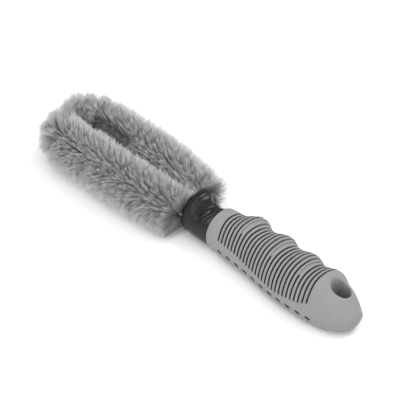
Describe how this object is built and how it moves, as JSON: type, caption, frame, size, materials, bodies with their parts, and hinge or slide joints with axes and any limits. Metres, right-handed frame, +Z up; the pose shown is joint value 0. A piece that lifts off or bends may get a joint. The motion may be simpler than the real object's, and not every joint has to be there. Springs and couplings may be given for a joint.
{
  "type": "wheel brush",
  "caption": "Wheel brush: a twisted-wire loop of soft grey bristles in a black core, with a slotted grey rubber grip and a hanging hole.",
  "frame": {"origin": "centre of the brush's bounding box at floor level, the brush lying flat on its bristles and grip", "axes": "+X along the brush from the bristle loop's tip to the handle's butt, +Y across the loop to the finger-bump side, +Z up out of the loop's plane"},
  "size_m": [0.286, 0.0748, 0.0399],
  "materials": {
    "black_plastic": "satin moulded black plastic",
    "grey_rubber": "soft matte moulded rubber",
    "steel": "galvanised steel",
    "filament": "soft plastic bristle filaments"
  },
  "bodies": {
    "root": {"handle_core": "black_plastic", "grip_sleeve": "grey_rubber", "anchor_plate": "steel", "stem_ferrule_left": "steel", "stem_ferrule_right": "steel", "wire_strand_a": "steel", "wire_strand_b": "steel", "bristles_left_leg": "filament", "bristles_right_leg": "filament", "bristles_left_tip": "filament", "bristles_right_tip": "filament"}
  },
  "joints": []
}
